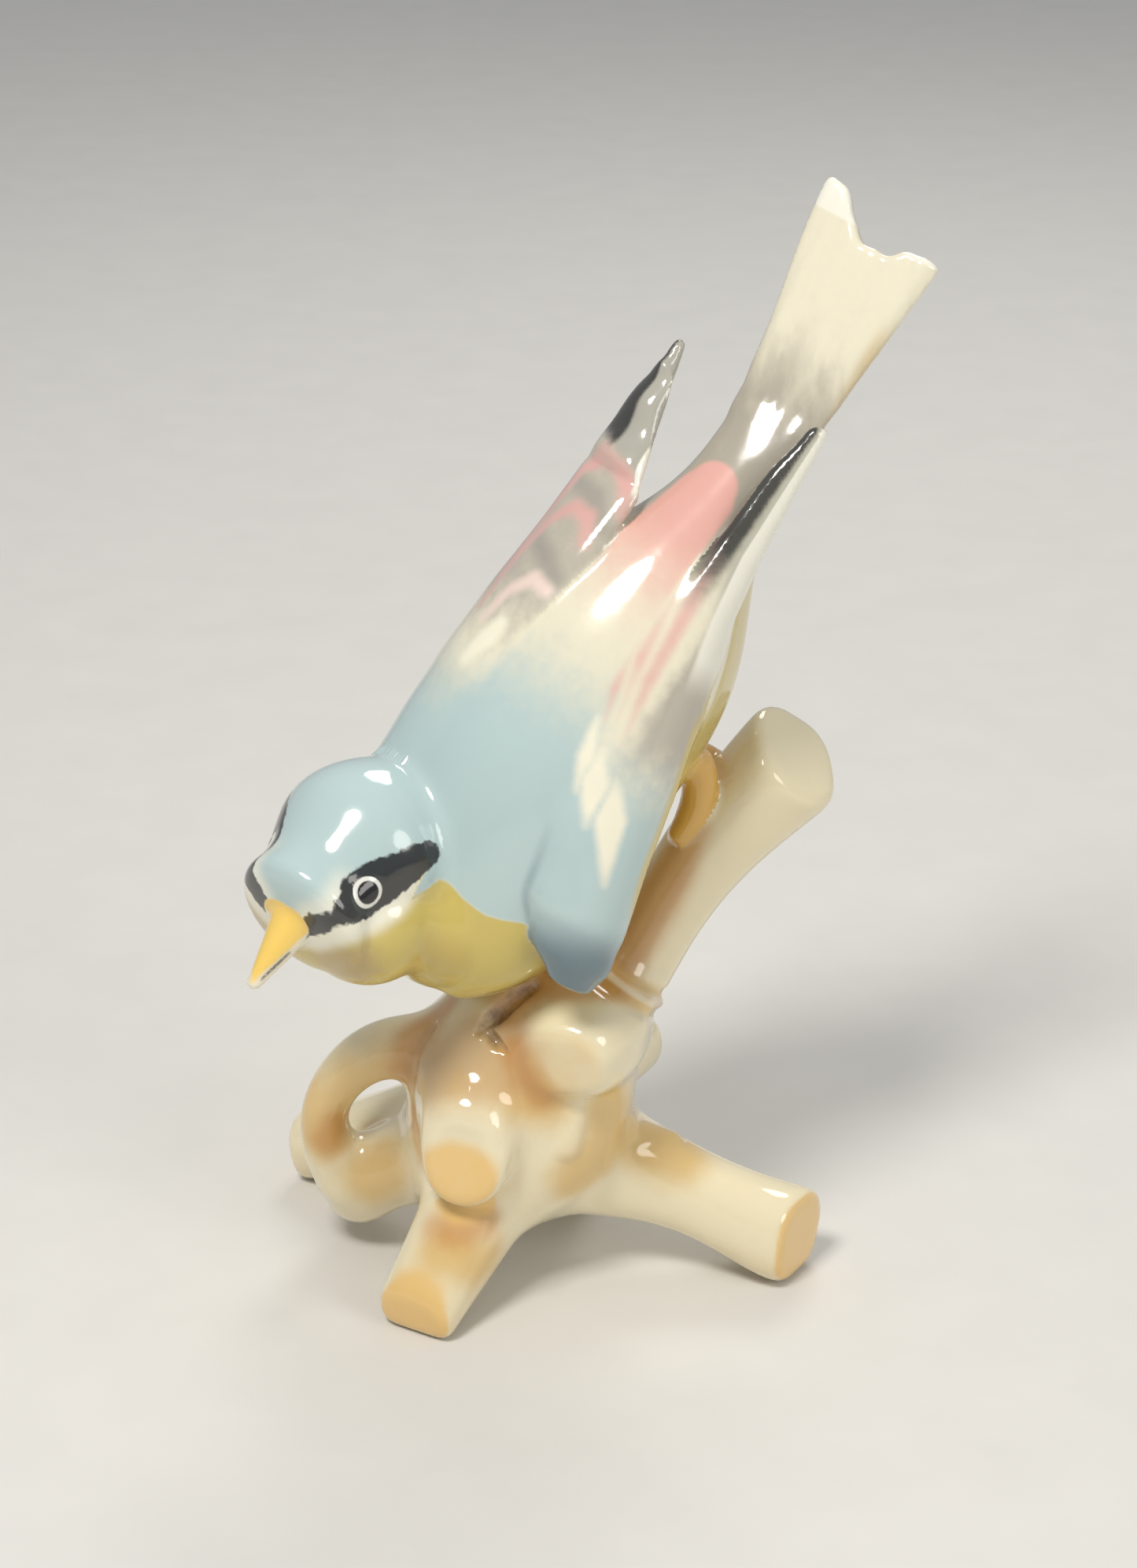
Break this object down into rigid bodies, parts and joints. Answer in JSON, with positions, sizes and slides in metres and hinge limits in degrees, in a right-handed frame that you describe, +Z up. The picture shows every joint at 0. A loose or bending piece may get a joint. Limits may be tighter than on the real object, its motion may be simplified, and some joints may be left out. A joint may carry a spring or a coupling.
{
  "type": "porcelain bird figurine",
  "caption": "Glazed porcelain songbird leaning head down on a sawn-off tree stump with splayed roots, a free-standing collectible figurine.",
  "frame": {"origin": "middle of the bounding box, on the surface that the roots stand on", "axes": "+Z up, along the figurine's height; the bird's beak points to -X and its back is turned towards -Y"},
  "size_m": [0.071, 0.0436, 0.1195],
  "materials": {
    "bird_body": "hand painted under a clear high-gloss glaze",
    "bird_head": "hand painted under a clear high-gloss glaze",
    "left_wing": "hand painted under a clear high-gloss glaze",
    "right_wing": "hand painted under a clear high-gloss glaze",
    "tail": "hand painted under a clear high-gloss glaze",
    "left_foot": "hand painted under a clear high-gloss glaze",
    "right_foot": "hand painted under a clear high-gloss glaze",
    "trunk": "hand painted under a clear high-gloss glaze",
    "perch_branch": "hand painted under a clear high-gloss glaze",
    "knot_stub": "hand painted under a clear high-gloss glaze",
    "front_stub": "hand painted under a clear high-gloss glaze",
    "front_root": "hand painted under a clear high-gloss glaze",
    "right_root": "hand painted under a clear high-gloss glaze",
    "left_root": "hand painted under a clear high-gloss glaze",
    "loop_branch": "hand painted under a clear high-gloss glaze",
    "rear_left_root": "hand painted under a clear high-gloss glaze",
    "rear_right_stub": "hand painted under a clear high-gloss glaze",
    "rear_root": "hand painted under a clear high-gloss glaze"
  },
  "bodies": {
    "root": {"bird_body": "bird_body", "bird_head": "bird_head", "left_wing": "left_wing", "right_wing": "right_wing", "tail": "tail", "left_foot": "left_foot", "right_foot": "right_foot", "trunk": "trunk", "perch_branch": "perch_branch", "knot_stub": "knot_stub", "front_stub": "front_stub", "front_root": "front_root", "right_root": "right_root", "left_root": "left_root", "loop_branch": "loop_branch", "rear_left_root": "rear_left_root", "rear_right_stub": "rear_right_stub", "rear_root": "rear_root"}
  },
  "joints": []
}
